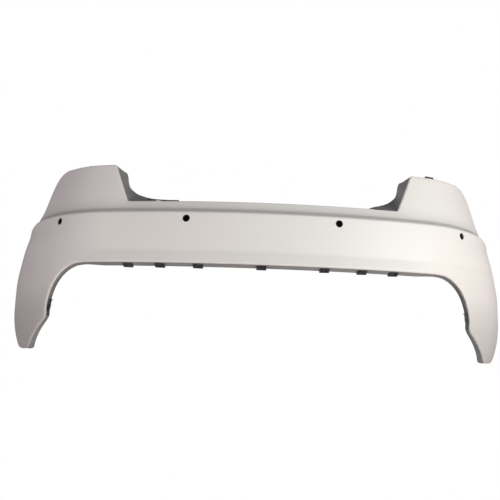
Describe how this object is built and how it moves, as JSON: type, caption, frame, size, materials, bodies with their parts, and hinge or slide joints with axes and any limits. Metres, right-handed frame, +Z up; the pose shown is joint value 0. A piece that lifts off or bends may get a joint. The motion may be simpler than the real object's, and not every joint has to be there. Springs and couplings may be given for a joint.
{
  "type": "rear bumper cover",
  "caption": "Rear bumper cover of a hatchback: moulded wrap-round skin with a shoulder crease, uprights, valance opening, sensor holders, brackets, clip nuts and push rivets.",
  "frame": {"origin": "middle of the rivet row on the underside of the tailgate sill flange", "axes": "+X to the right seen from behind the car, +Y forward into the car, +Z up"},
  "size_m": [1.6958, 0.5485, 0.5671],
  "materials": {
    "skin": "satin grey primer over moulded plastic",
    "black_plastic": "fine moulded grain, black",
    "zinc_steel": "zinc-plated steel",
    "black_steel": "black phosphated spring steel",
    "soft_rubber": "soft black rubber"
  },
  "bodies": {
    "cover": {"cover_skin": "skin", "sill_strip": "zinc_steel", "rivet_bodies": "black_plastic", "sensor_holder_outer_left": "black_plastic", "sensor_holder_inner_left": "black_plastic", "sensor_holder_inner_right": "black_plastic", "sensor_holder_outer_right": "black_plastic", "lamp_bracket_left": "black_plastic", "lamp_bracket_right": "black_plastic", "lamp_screws_left": "zinc_steel", "lamp_screws_right": "zinc_steel", "side_guide_left": "black_plastic", "side_guide_right": "black_plastic", "guide_screws_left": "zinc_steel", "guide_screws_right": "zinc_steel", "arch_nuts_left": "black_steel", "arch_nuts_right": "black_steel", "valance_nuts": "black_steel", "valance_latch_left": "black_plastic", "valance_latch_right": "black_plastic", "locating_tab": "black_plastic", "sill_buffer": "soft_rubber"},
    "pin_1": {"rivet_pin_1": "black_plastic"},
    "pin_2": {"rivet_pin_2": "black_plastic"},
    "pin_3": {"rivet_pin_3": "black_plastic"},
    "pin_4": {"rivet_pin_4": "black_plastic"}
  },
  "joints": [
    {"name": "pin_slide_1", "type": "slide", "parent": "cover", "child": "pin_1", "axis": [0, 0, 1], "range_m": [0, 0.008]},
    {"name": "pin_slide_2", "type": "slide", "parent": "cover", "child": "pin_2", "axis": [0, 0, 1], "range_m": [0, 0.008]},
    {"name": "pin_slide_3", "type": "slide", "parent": "cover", "child": "pin_3", "axis": [0, 0, 1], "range_m": [0, 0.008]},
    {"name": "pin_slide_4", "type": "slide", "parent": "cover", "child": "pin_4", "axis": [0, 0, 1], "range_m": [0, 0.008]}
  ]
}
